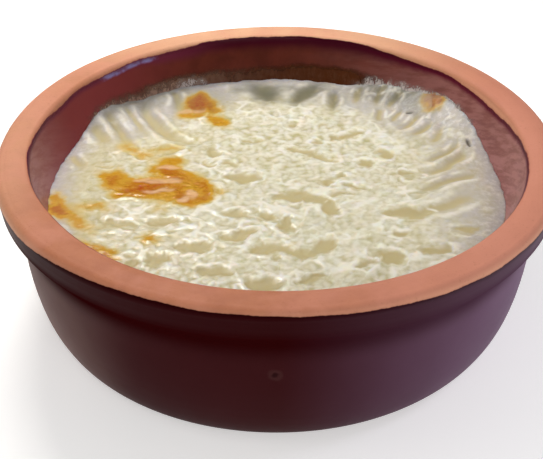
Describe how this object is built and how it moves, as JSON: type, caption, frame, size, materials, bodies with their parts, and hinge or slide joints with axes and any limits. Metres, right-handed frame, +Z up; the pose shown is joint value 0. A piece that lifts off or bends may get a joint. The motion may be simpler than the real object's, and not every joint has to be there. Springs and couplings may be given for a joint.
{
  "type": "rice pudding",
  "caption": "Oven-baked rice pudding with a wrinkled, browned milk skin, set in its small round earthenware dish.",
  "frame": {"origin": "centre of the underside of the dish, on the surface that it stands on", "axes": "+Z up along the dish's turning axis, -Y towards the side seen first, +X to its right"},
  "size_m": [0.13, 0.13, 0.043],
  "materials": {
    "glazed_clay": "gloss",
    "milk_skin": "satin"
  },
  "bodies": {
    "root": {"dish": "glazed_clay", "pudding": "milk_skin"}
  },
  "joints": []
}
